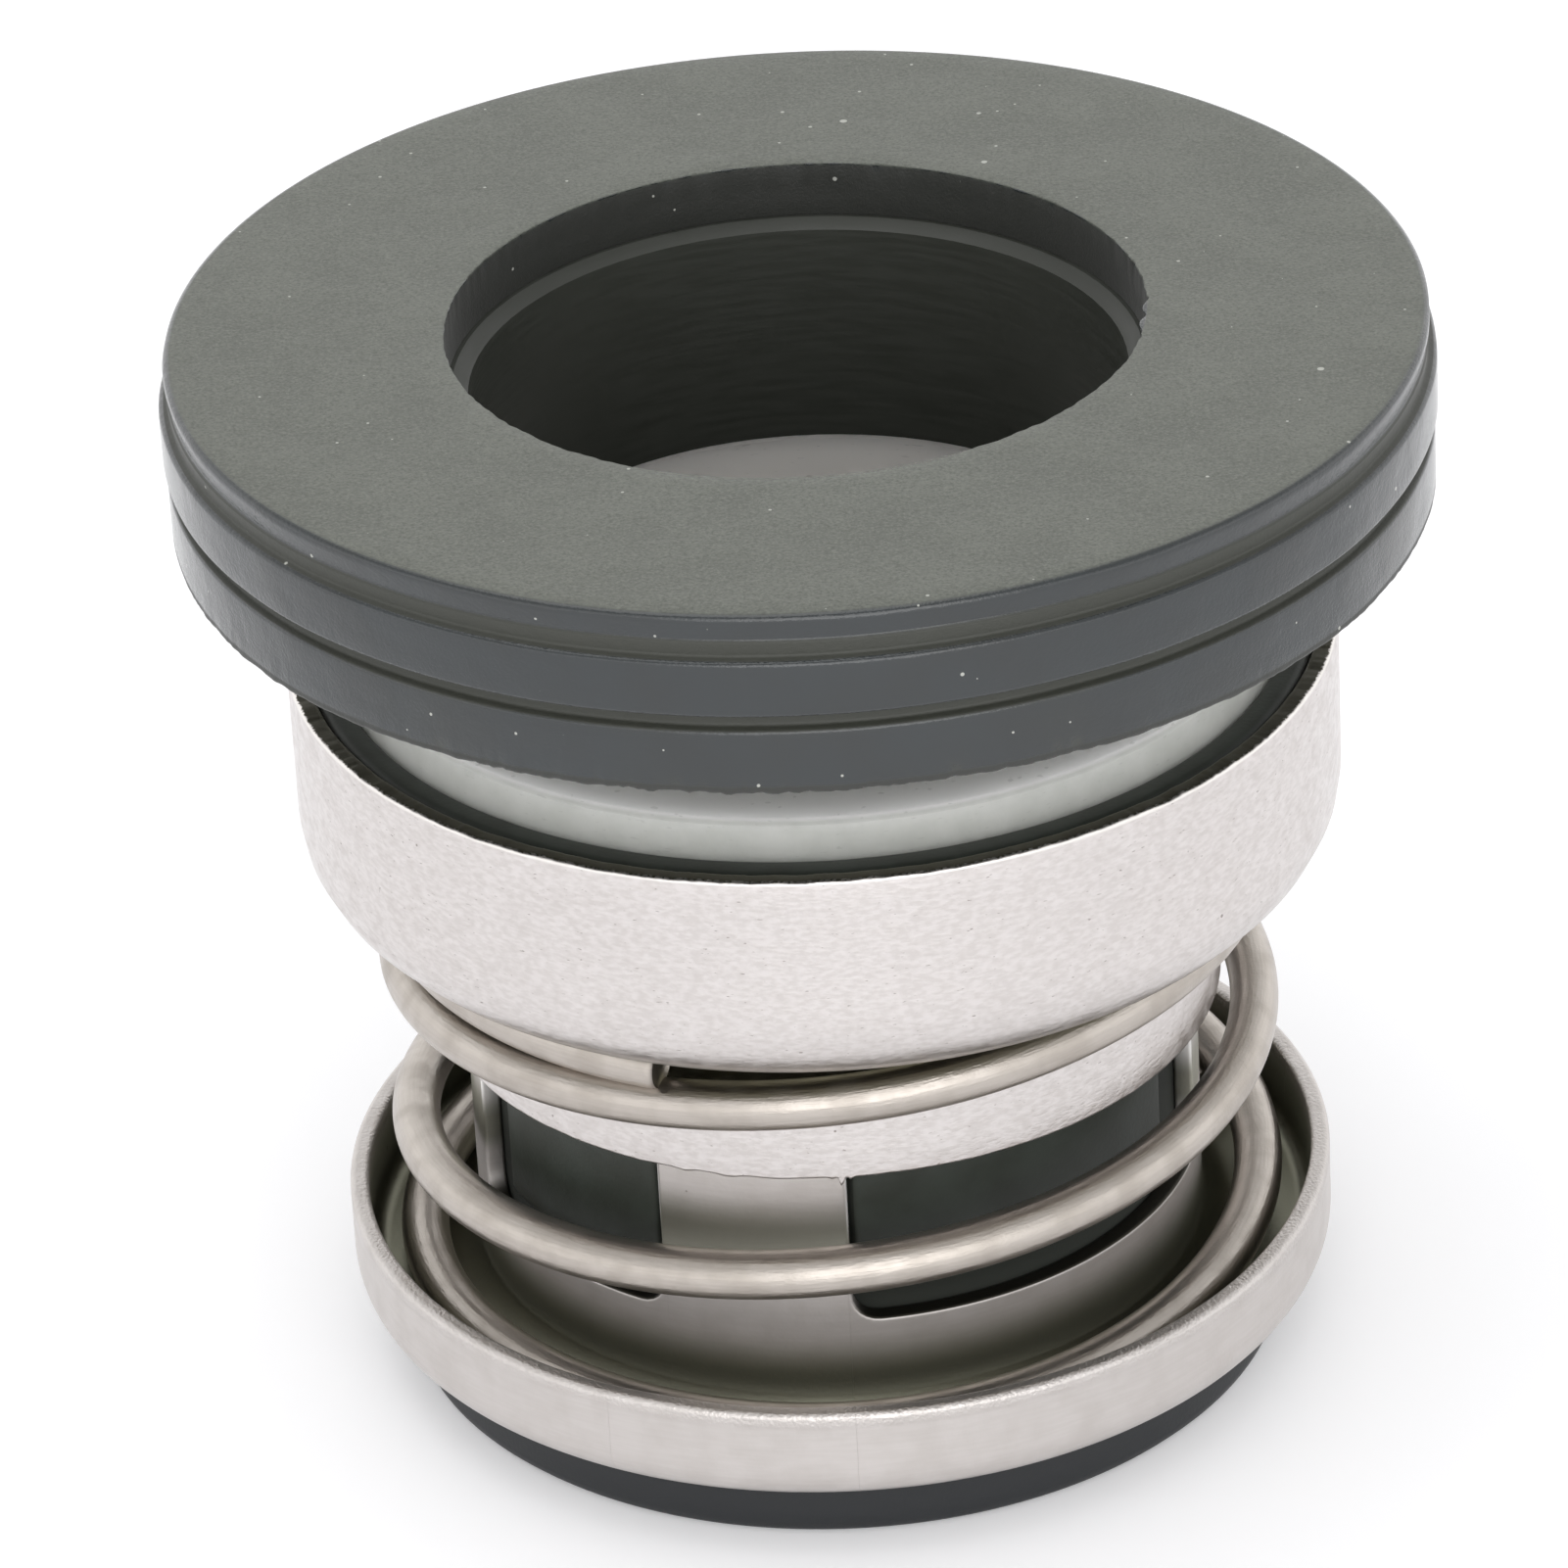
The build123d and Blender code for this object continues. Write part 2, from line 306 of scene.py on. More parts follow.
def rounded(
    corners: list[tuple[float, float, float]], step: Pair, closed: bool = True, arc_points: int = 7
) -> np.ndarray:
    """Line with rounded corners.

    Args:
        corners: Two coordinates and a corner radius for each corner.
        step: Longest straight piece along each coordinate.
        closed: Whether the last corner joins the first; if not, the two ends stay square.
        arc_points: Points on each rounded corner.

    Returns:
        Points in order. Each corner becomes the arc that is tangent to both of its sides,
        which starts at the corner radius over the tangent of half the angle.
    """
    points = np.array([c[:2] for c in corners], float)
    arcs: list[np.ndarray] = []
    for here, before, after, corner in zip(points, np.roll(points, 1, 0), np.roll(points, -1, 0), corners):
        if not closed and (corner is corners[0] or corner is corners[-1]):
            arcs.append(here[None])
            continue
        back = (before - here) / np.linalg.norm(before - here)
        ahead = (after - here) / np.linalg.norm(after - here)
        half = np.arccos(np.clip(back @ ahead, -1, 1)) / 2
        middle = (back + ahead) / np.linalg.norm(back + ahead)
        centre = here + middle * corner[2] / np.sin(half)
        start = here + back * corner[2] / np.tan(half) - centre
        end = here + ahead * corner[2] / np.tan(half) - centre
        turn = np.pi - 2 * half
        share = np.linspace(0, 1, arc_points)[:, None]
        along = np.sin((1 - share) * turn) * start + np.sin(share * turn) * end
        arcs.append(centre + along / np.sin(turn))
    line: list[np.ndarray] = []
    for arc, following in zip(arcs, arcs[1:] + arcs[:1]):
        line.append(arc)
        if closed or following is not arcs[0]:
            gap = following[0] - arc[-1]
            count = max(int(np.ceil(np.abs(gap / step).sum())), 1)
            line.append(arc[-1] + gap * np.linspace(0, 1, count + 1)[1:-1, None])
    return np.concatenate(line)


def grid_faces(rows: int, columns: int, wrap_rows: bool, wrap_columns: bool) -> np.ndarray:
    """Corner numbers of the quads of a grid of points.

    Args:
        rows: Points along the first parameter.
        columns: Points along the second parameter.
        wrap_rows: Whether the last row joins the first.
        wrap_columns: Whether the last column joins the first.

    Returns:
        Array with four corner numbers a quad.
    """
    i = np.arange(rows if wrap_rows else rows - 1)[:, None]
    j = np.arange(columns if wrap_columns else columns - 1)[None, :]
    i_next, j_next = (i + 1) % rows, (j + 1) % columns
    here, beyond = i * columns, i_next * columns
    return np.stack([here + j, beyond + j, beyond + j_next, here + j_next], -1).reshape(-1, 4)


def make_piece(
    name: str, points: np.ndarray, faces: np.ndarray, material: bpy.types.Material, body: Body | None
) -> bpy.types.Object:
    """Make one finished piece.

    Args:
        name: Name of the piece.
        points: Corner points in millimetres, in the frame of the part.
        faces: Quads; a triangle repeats its last corner, which is left out here.
        material: Finish of the piece.
        body: Body that it rides on, or None for a piece on no body.

    Returns:
        The piece, smooth shaded, with faces that point outwards.
    """
    points = points.reshape(-1, 3)
    a, b, c, d = (points[faces[:, k]] for k in range(4))
    if (np.cross(c - a, d - b) * (a + b + c + d)).sum() < 0:
        faces = faces[:, ::-1]
    keep = faces != np.roll(faces, 1, axis=1)
    sizes, loops = keep.sum(1), faces[keep]
    mesh = bpy.data.meshes.new(name)
    mesh.vertices.add(len(points))
    mesh.vertices.foreach_set("co", (points * MM).astype(np.float32).ravel())
    mesh.loops.add(len(loops))
    mesh.loops.foreach_set("vertex_index", loops.astype(np.int32))
    mesh.polygons.add(len(faces))
    mesh.polygons.foreach_set("loop_start", np.concatenate([[0], np.cumsum(sizes)[:-1]]).astype(np.int32))
    mesh.polygons.foreach_set("use_smooth", np.ones(len(faces), bool))
    mesh.update(calc_edges=True)
    mesh.validate()
    mesh.materials.append(material)
    piece = bpy.data.objects.new(name, mesh)
    bpy.context.scene.collection.objects.link(piece)
    if body:
        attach(piece, body.value)
    LOG.info("%s: %d faces", name, len(faces))
    return piece


def about_axis(radius: np.ndarray | float, turn: np.ndarray, height: np.ndarray) -> np.ndarray:
    """Points whose x and y are the radius times the azimuth's cosine and sine."""
    return np.stack([radius * np.cos(turn), radius * np.sin(turn), height], -1)


def turned_piece(
    name: str, section: np.ndarray, shift: np.ndarray, material: bpy.types.Material, body: Body | None
) -> bpy.types.Object:
    """Make a piece by turning a closed section about the shaft axis.

    Args:
        name: Name of the piece.
        section: Points (radius, height), as rows of the grid.
        shift: Change of radius and height at each row and each azimuth.
        material: Finish of the piece.
        body: Body that it rides on, or None for a piece on no body.

    Returns:
        The finished piece.
    """
    rows, columns = shift.shape[:2]
    moved = section[:, None] + shift
    points = about_axis(moved[..., 0], azimuths(columns), moved[..., 1])
    return make_piece(name, points, grid_faces(rows, columns, True, True), material, body)


def dress(node: str, material: bpy.types.Material) -> None:
    """Give a CAD node its finish."""
    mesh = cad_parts[node].data
    mesh.materials.clear()
    mesh.materials.append(material)


# ---- finishes


# A pair in a finish is the range of heights, or of distances from the axis, over which a zone
# of the surface fades in.


@dataclass(frozen=True)
class SeatRubber:
    """Nitrile rubber, compression moulded: a dusty ground back, smooth ribs, dull grooves, and painted
    shade in the grooves, the hole and under the mouth.
    """

    back: str = "50534b"
    back_light: str = "686b62"
    back_dark: str = "3e4138"
    side: str = "1a2124"
    side_dark: str = "171a19"
    # The groove and wall colours are painted shade: in the grooves and under the lip, and on the hole's
    # wall and the mouth's underside.
    groove: str = "26281f"
    wall: str = "1c1e19"
    dust: str = "b4b5ae"
    back_height: Pair = (29.0, 29.09)
    back_inner: Pair = (8.82, 8.87)
    back_outer: Pair = (15.86, 15.7)
    groove_floor: Pair = (16.03, 15.97)
    below_lip: Pair = (28.45, 28.38)
    hole_wall: Pair = (8.9, 8.86)
    below_back: Pair = (29.08, 29.0)
    mouth_face: Pair = (24.62, 24.5)
    smooth: float = 0.12
    dull: float = 0.6

    def build(self) -> bpy.types.Material:
        """Make the material.

        Returns:
            Rubber whose colour depends on the height, for the flat back and for painted shade under
            the mouth, and on the distance from the axis, for painted shade in the grooves between
            the ribs and under the lip, and on the wall of the hole.
        """
        s = Surface("nitrile rubber, moulded and dusty", self.side, 0.3, ior=1.66)
        height, distance = s.height_and_distance()
        disc = (distance, self.back_inner), (distance, self.back_outer)
        on_back = s.zone((height, self.back_height), *disc)
        # Zones of painted shade: the grooves and under the lip, the hole's wall and the mouth's underside.
        groove_shade = s.zone((distance, self.groove_floor), (height, self.below_lip))
        shade_on_wall = s.zone((distance, self.hole_wall), (height, self.below_back))
        shade_on_wall = s.math("MAXIMUM", shade_on_wall, s.remap(height, *self.mouth_face))
        cloud = s.remap(s.grain(2.2, 4.0), 0.3, 0.7)
        grit = s.grain(0.085, 2.0, rough=0.7)
        back = s.mix(cloud, self.back, self.back_light, 0.3)
        back = s.mix(s.remap(grit, 0.5, 0.72), back, self.back_light, 0.8)
        back = s.mix(s.remap(grit, 0.5, 0.3), back, self.back_dark, 0.8)
        side = s.mix(cloud, self.side, self.side_dark, 0.5)
        side = s.mix(groove_shade, side, self.groove)
        side = s.mix(shade_on_wall, side, self.wall)
        color = s.mix(on_back, side, back)
        dots = s.math("MAXIMUM", s.specks(0.7, 0.05, 0.9), s.specks(1.9, 0.11, 0.9))
        s.set("Base Color", s.mix(dots, color, self.dust, 0.8))
        matte = s.math("MAXIMUM", on_back, groove_shade, shade_on_wall)
        s.set("Roughness", s.remap(matte, 0.0, 1.0, self.smooth, self.dull))
        s.set("Sheen Weight", 0.12)
        s.set("Sheen Roughness", 0.4)
        s.bump(grit, 0.012, s.bump(cloud, 0.02))
        return s.material


@dataclass(frozen=True)
class BellowsRubber:
    """Nitrile rubber, injection moulded: matte black with a soft bloom, and painted shade between the lugs
    and on the foot.
    """

    color: str = "22261f"
    bloom: str = "2b302a"
    # Painted shade: the colour of the hollow between the lugs, and of the foot under the cup.
    recess_shade: str = "1c1f19"
    foot: str = "14171a"
    tail_side: Pair = (9.42, 9.3)
    above_cup: Pair = (4.6, 5.0)
    below_fold: Pair = (13.0, 12.0)
    foot_top: Pair = (2.0, 1.75)

    def build(self) -> bpy.types.Material:
        """Make the material.

        Returns:
            Black rubber, darker with painted shade and duller in the hollow between the lugs, and darker
            and bluer with painted shade on the foot under the cup.
        """
        s = Surface("nitrile rubber, moulded black", self.color, 0.52)
        height, distance = s.height_and_distance()
        # Painted shade in the hollow between the lugs.
        recess_shade = s.zone((height, self.above_cup), (height, self.below_fold), (distance, self.tail_side))
        cloud = s.remap(s.grain(1.2, 4.0), 0.3, 0.7)
        color = s.mix(recess_shade, s.mix(cloud, self.color, self.bloom), self.recess_shade)
        # Painted shade on the foot under the cup.
        s.set("Base Color", s.mix(s.remap(height, *self.foot_top), color, self.foot))
        s.set("Roughness", s.remap(recess_shade, 0.0, 1.0, 0.52, 0.85))
        s.bump(s.grain(0.12, 2.0), 0.006)
        return s.material


@dataclass(frozen=True)
class Carbon:
    """Resin-filled carbon graphite, turned and lapped: charcoal with a dull sheen."""

    color: str = "32342f"
    rings: str = "363833"

    def build(self) -> bpy.types.Material:
        """Make the material."""
        s = Surface("carbon graphite, turned", self.color, 0.42)
        rings = s.grain(0.14, 3.0, (12, 12, 1))
        turned = s.remap(rings, 0.3, 0.7)
        s.set("Base Color", s.mix(turned, self.color, self.rings))
        s.set("Roughness", s.remap(rings, 0.3, 0.7, 0.36, 0.5))
        s.bump(rings, 0.0015)
        return s.material


@dataclass(frozen=True)
class Alumina:
    """Alumina ceramic, fired and ground: pale, a little translucent, with dark specks."""

    # The face and bore colours are painted light: paler than the side where the seat cup and the hole shade
    # them.
    face: str = "f6f5f2"
    side: str = "cbccc7"
    side_dark: str = "bcbeb8"
    bore: str = "fbf2ec"
    line: str = "8c8d88"
    speck: str = "4a4a46"
    face_height: Pair = (21.3, 21.38)
    bore_side: Pair = (8.7, 8.6)
    glow_depth: float = 2.5

    def build(self) -> bpy.types.Material:
        """Make the material.

        Returns:
            Ceramic with a lapped face and a warm bore that are painted lighter than the greyer side,
            as painted light where the seat cup and the hole shade them, told apart by height and by
            the distance from the axis.
        """
        s = Surface("alumina ceramic, ground", self.side, 0.32, ior=1.76)
        height, distance = s.height_and_distance()
        cloud = s.remap(s.grain(0.9, 4.0), 0.3, 0.7)
        color = s.mix(cloud, self.side, self.side_dark, 0.6)
        # Painted light on the face and in the bore.
        color = s.mix(s.remap(height, *self.face_height), color, self.face)
        color = s.mix(s.remap(distance, *self.bore_side), color, self.bore)
        lines = s.remap(s.grain(0.06, 1.0, (5, 5, 1)), 0.7, 0.75)
        color = s.mix(lines, color, self.line, 0.25)
        s.set("Base Color", s.mix(s.specks(1.7, 0.07, 0.14), color, self.speck))
        s.set("Subsurface Weight", 1.0)
        s.set("Subsurface Radius", (1.0, 1.0, 1.0))
        s.set("Subsurface Scale", self.glow_depth * MM)
        s.bump(s.grain(0.1, 2.0), 0.004)
        return s.material


@dataclass(frozen=True)
class TumbledSteel:
    """Stainless sheet, deep drawn and tumbled: satin, with a fine orange-peel grain."""

    color: str = "d7d2d0"
    shade: str = "b9b3af"
    # Painted colours: shade on the skirt's top under the plate, shade and a dark reflection on the rim's
    # flat, and a highlight along the rim's outer edge.
    skirt_shade: str = "6f6d5d"
    edge: str = "615f53"
    glint: str = "e6e2de"
    pit: str = "7b726c"
    roughness: float = 0.34
    edge_roughness: float = 0.55
    rim_round: Pair = (20.3, 20.36)
    rim_flat: Pair = (20.3, 20.38)
    outer_line: Pair = (13.41, 13.43)
    inner_line: Pair = (13.43, 13.39)
    below_plate: Pair = (11.7, 12.5)
    skirt_side: Pair = (12.9, 12.5)

    def build(self) -> bpy.types.Material:
        """Make the material.

        Returns:
            Steel whose colour wavers with the grain, with small dark pits and scratches. The
            flat of its sheared rim is rough and dull, with painted shade and a painted dark reflection
            of the seat cup above it, and a painted highlight as a ragged line outside it, and the
            skirt's top, shut in between the plate and the first coil, gets painted shade; height and
            distance from the axis tell them apart.
        """
        s = Surface("stainless sheet, drawn and tumbled", self.color, self.roughness, metallic=1.0)
        height, distance = s.height_and_distance()
        peel = s.remap(s.grain(0.11, 3.0, (2.4, 2.4, 1)), 0.32, 0.68)
        blot = s.remap(s.grain(0.4, 4.0, (1.5, 1.5, 1)), 0.35, 0.72)
        scratch = s.remap(s.grain(0.06, 2.0, (4, 4, 1)), 0.7, 0.75)
        marks = s.math("MAXIMUM", s.specks(0.9, 0.06, 0.4), s.math("MULTIPLY", scratch, 0.9))
        color = s.mix(peel, self.color, self.shade, 0.4)
        color = s.mix(blot, color, self.shade, 0.16)
        color = s.mix(marks, color, self.pit, 0.75)
        ragged = s.math("ADD", distance, s.remap(s.grain(0.12, 2.0), 0.3, 0.7, -0.04, 0.03))
        # Painted highlight along the rim's outer edge, and painted shade on the rim's flat and on the
        # skirt's top under the plate.
        rim_glint = s.zone((height, self.rim_round), (ragged, self.outer_line))
        rim = s.zone((height, self.rim_flat), (ragged, self.inner_line))
        under = s.zone((height, self.below_plate), (distance, self.skirt_side))
        color = s.mix(rim_glint, color, self.glint)
        color = s.mix(under, color, self.skirt_shade)
        s.set("Base Color", s.mix(rim, color, self.edge))
        rough = s.remap(blot, 0.0, 1.0, self.roughness - 0.05, self.roughness + 0.07)
        s.set("Roughness", s.math("MAXIMUM", rough, s.math("MULTIPLY", rim, self.edge_roughness)))
        s.bump(peel, 0.004)
        return s.material


@dataclass(frozen=True)
class PressedSteel:
    """Stainless sheet, pressed: satin outside, with grey-green painted shade in the channel."""

    color: str = "cdc8c5"
    shade: str = "b8b2ad"
    # Painted colours: grey-green shade in the channel and the coil's shadow on the tongues, dark shade on
    # the sills, and a highlight on the tongues' sheared edges.
    film: str = "8b8b7c"
    sill_shade: str = "3c3a34"
    burr: str = "f6f4f2"
    pit: str = "7f7770"
    rim_side: Pair = (12.3, 12.45)
    rim_height: Pair = (4.1, 4.3)
    channel_side: Pair = (12.6, 12.52)
    channel_top: Pair = (4.9, 3.5)
    channel_floor: Pair = (1.9, 2.1)
    sleeve_side: Pair = (9.7, 9.65)
    coil_shadow: float = 0.8
    coil_shadow_top: Pair = (9.0, 7.8)
    coil_shadow_foot: Pair = (6.4, 7.0)
    sill_shade_side: Pair = (9.597, 9.58)
    sill_shade_top: Pair = (5.9, 5.3)
    glint_side: Pair = (9.598, 9.58)
    glint_foot: Pair = (7.5, 8.5)

    def build(self) -> bpy.types.Material:
        """Make the material.

        Returns:
            Steel with faint level lines, and a band of the coil's painted shadow across the tongues.
            Height and the distance from the axis tell apart the outer wall, the grainy rim, the
            channel in grey-green painted shade, the sills darkened with painted shade, and the
            painted highlight on the sheared edges of the tongues.
        """
        s = Surface("stainless sheet, pressed", self.color, 0.3, metallic=1.0)
        height, distance = s.height_and_distance()
        rim = s.zone((distance, self.rim_side), (height, self.rim_height))
        # Painted shade in the channel.
        filmed = (distance, self.channel_side), (height, self.channel_top), (height, self.channel_floor)
        channel = s.zone(*filmed)
        sleeve = s.remap(distance, *self.sleeve_side)
        # Painted shadow of the coil across the tongues.
        coil_shadow = s.math("MULTIPLY", sleeve, s.remap(height, *self.coil_shadow_top), self.coil_shadow)
        coil_shadow = s.math("MULTIPLY", coil_shadow, s.remap(height, *self.coil_shadow_foot))
        # Painted shade on the sills, and a painted highlight on the tongues' edges.
        sill = s.zone((distance, self.sill_shade_side), (height, self.sill_shade_top))
        burr = s.zone((distance, self.glint_side), (height, self.glint_foot))
        lines = s.remap(s.grain(0.09, 3.0, (14, 14, 1)), 0.3, 0.7)
        blot = s.remap(s.grain(0.9, 3.0), 0.35, 0.75)
        color = s.mix(lines, self.color, self.shade, 0.2)
        color = s.mix(blot, color, self.shade, 0.35)
        color = s.mix(s.math("MAXIMUM", channel, coil_shadow), color, self.film)
        color = s.mix(sill, color, self.sill_shade)
        color = s.mix(burr, color, self.burr)
        s.set("Base Color", s.mix(s.specks(1.3, 0.05, 0.15), color, self.pit, 0.6))
        rough = s.remap(sleeve, 0.0, 1.0, 0.38, 0.52)
        s.set("Roughness", s.math("MAXIMUM", rough, s.math("MULTIPLY", rim, 0.4)))
        grain = s.math("MULTIPLY", s.grain(0.09, 2.0), rim)
        s.bump(grain, 0.03, s.bump(s.grain(0.12, 2.0), 0.004))
        return s.material


@dataclass(frozen=True)
class SpringWire:
    """Stainless spring wire, cold drawn: warm grey with lines along its length."""

    color: str = "bab3ac"
    dark: str = "948c83"

    def build(self) -> bpy.types.Material:
        """Make the material.

        Returns:
            Steel whose lines follow the attribute "along", which holds the length along the
            wire and the place in its section, in millimetres.
        """
        s = Surface("stainless spring wire, drawn", self.color, 0.34, metallic=1.0)
        along = s.node("ShaderNodeAttribute", attribute_name="along").outputs["Vector"]
        lines = s.remap(s.noise(along, (0.03, 1, 1), 14.0, 3.0), 0.32, 0.68)
        dashes = s.remap(s.noise(along, (0.2, 1, 1), 13.0, 2.0), 0.45, 0.7)
        blot = s.remap(s.grain(1.1, 3.0), 0.35, 0.7)
        color = s.mix(lines, self.color, self.dark, 0.15)
        s.set("Base Color", s.mix(blot, color, self.dark, 0.35))
        s.set("Roughness", s.remap(blot, 0.0, 1.0, 0.3, 0.4))
        s.bump(dashes, 0.0022, s.bump(s.grain(0.08, 2.0), 0.005, s.bump(lines, 0.002)))
        return s.material


# ---- stationary seat


@dataclass
class StationarySeat:
    """Rubber cup with three ribs, and the carbon ring that it holds."""

    hole_radius: float = 8.85
    back_height: float = 29.1
    pocket_height: float = 27.6
    mouth_height: float = 24.35
    pocket_radius: float = 13.22
    rib_radius: float = 16.12
    end_rib_radius: float = 16.05
    groove_radius: float = 15.82
    tears: tuple[Nick, ...] = (
        Nick(azimuth=-4.0, width=1.6, depth=0.12),
        Nick(azimuth=-9.5, width=2.0, depth=0.16),
        Nick(azimuth=-14.5, width=0.8, depth=-0.08),
        Nick(azimuth=-0.5, width=0.6, depth=-0.05),
        Nick(azimuth=-61.0, width=1.5, depth=0.05),
    )
    side_from: float = 15.6
    trim_depth: float = 0.12
    trim_height: float = 0.4
    sag: float = 0.02
    most_flash: float = 0.04
    drip_reach: float = 0.4
    columns: int = 800
    rubber: SeatRubber = field(default_factory=SeatRubber)
    carbon: Carbon = field(default_factory=Carbon)

    def section(self) -> np.ndarray:
        """Section of the cup: from the hole over the back, down the ribs and into the pocket."""
        rib, end, groove = self.rib_radius, self.end_rib_radius, self.groove_radius
        corners = [
            (self.hole_radius, self.pocket_height, 0.03),
            (self.hole_radius, self.back_height, 0.035),
            (end - 0.06, self.back_height, 0.2),
            (end - 0.21, 28.44, 0.05),
            (end - 0.15, 28.36, 0.03),
            (end - 0.18, 28.0, 0.08),
            (rib, 27.9, 0.12),
            (rib, 26.48, 0.12),
            (groove, 26.4, 0.1),
            (groove, 26.12, 0.1),
            (end, 26.04, 0.12),
            (end, self.mouth_height, 0.12),
            (self.pocket_radius, self.mouth_height, 0.1),
            (self.pocket_radius, self.pocket_height, 0.1),
        ]
        return rounded(corners, (0.6, 0.6), arc_points=5)

    def build(self) -> None:
        """Make the cup and dress the ring.

        Ripples of many waves a turn move the points of the section: the mouth's outer edge
        carries a ragged moulding flash, the hole's edge is trimmed by hand and torn in a few
        places, and the ribs sag in by a few hundredths of a millimetre.
        """
        section = self.section()
        turn = azimuths(self.columns)
        shift = np.zeros((len(section), self.columns, 2))
        radius, height = section[:, 0], section[:, 1]
        outside = radius > self.side_from
        drip = np.clip((self.mouth_height + self.drip_reach - height) / self.drip_reach, 0, 1) ** 2
        shift[..., 1] -= (drip * outside)[:, None] * np.abs(waves(turn, 6, 120, 3, 0.3)) * 0.02
        hole = np.clip((self.hole_radius + self.trim_depth - radius) / self.trim_depth, 0, 1)
        hole *= np.clip((height - self.back_height + self.trim_height) / self.trim_height, 0, 1)
        trim = waves(turn, 3, 140, 7, 0.4) * 0.016
        for tear in self.tears:
            trim -= tear.profile(turn)
        shift[..., 0] += hole[:, None] * trim
        flash = waves(turn, 14, 330, 9, 0.5) * (0.6 + 0.5 * waves(turn, 2, 12, 10)) * 0.018
        mouth = np.clip((self.mouth_height + 0.35 - height) / 0.3, 0, 1) * outside
        shift[..., 0] += mouth[:, None] * np.minimum(flash, self.most_flash)
        shift[..., 1] += mouth[:, None] * waves(turn, 40, 330, 19, 0.15) * 0.007
        ribs = outside * (height < self.back_height - 0.1) * self.sag
        shift[..., 0] -= ribs[:, None] * (1.0 + 0.5 * waves(turn, 2, 30, 5))
        cup = turned_piece("seat_cup_rubber", section, shift, self.rubber.build(), Body.SEAT)
        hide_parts("seat_cup")
        dress("seat_ring", self.carbon.build())


# ---- rotary head


@dataclass
class RotaryHead:
    """Drawn steel shell with its skirt, and the ceramic face ring."""

    sheet: float = 0.5
    shell_radius: float = 13.49
    rim_height: float = 20.45
    plate_height: float = 14.15
    shoulder: float = 2.0
    skirt_inside: float = 9.75
    skirt_height: float = 9.85
    bend: float = 0.4
    end_reach: float = 0.4
    burrs: tuple[Nick, ...] = (
        Nick(azimuth=-112.5, width=1.2, depth=0.06),
        Nick(azimuth=-106.0, width=1.6, depth=0.05),
        Nick(azimuth=-99.0, width=2.5, depth=0.03),
        Nick(azimuth=-91.2, width=0.5, depth=0.06),
        Nick(azimuth=-89.9, width=0.35, depth=0.3),
        Nick(azimuth=-88.6, width=0.4, depth=0.08),
    )
    columns: int = 1080
    steel: TumbledSteel = field(default_factory=TumbledSteel)
    ceramic: Alumina = field(default_factory=Alumina)

    def section(self) -> np.ndarray:
        """Section of the shell: up the skirt, out over the plate and up the wall, and back."""
        skirt_outside = self.skirt_inside + self.sheet
        inside = self.shell_radius - self.sheet
        floor = self.plate_height + self.sheet
        corners = [
            (self.skirt_inside, self.skirt_height, 0.08),
            (skirt_outside, self.skirt_height, 0.1),
            (skirt_outside, self.plate_height, self.bend),
            (self.shell_radius, self.plate_height, self.shoulder),
            (self.shell_radius, self.rim_height, 0.1),
            (inside, self.rim_height, 0.14),
            (inside, floor, self.shoulder - self.sheet),
            (self.skirt_inside, floor, self.bend + self.sheet / 2),
        ]
        return rounded(corners, (0.8, 0.8), arc_points=6)

    def build(self) -> None:
        """Make the shell and dress the face ring.

        The sheared edges waver: ripples move the height of the rim and of the skirt's end, and
        fade out within a few tenths of a millimetre. A few burrs hang from the skirt's end.
        """
        section = self.section()
        turn = azimuths(self.columns)
        shift = np.zeros((len(section), self.columns, 2))
        height = section[:, 1]
        for reach, ripple in (
            (0.3, waves(turn, 2, 90, 11) * 0.012 - 0.02),
            (0.2, waves(turn, 30, 500, 31, 0.1) * 0.004 - 0.01),
        ):
            rim = np.clip((height - self.rim_height + reach) / reach, 0, 1)
            shift[..., 1] += rim[:, None] * ripple
        curl = waves(turn, 3, 60, 12) * 0.008 + 0.03
        for burr in self.burrs:
            curl -= burr.profile(turn)
        end = np.clip((self.skirt_height + self.end_reach - height) / self.end_reach, 0, 1)
        shift[..., 1] += end[:, None] * curl
        shell = turned_piece("shell_steel", section, shift, self.steel.build(), Body.HEAD)
        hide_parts("shell")
        dress("face_ring", self.ceramic.build())


# ---- drive: cup, spring, bellows


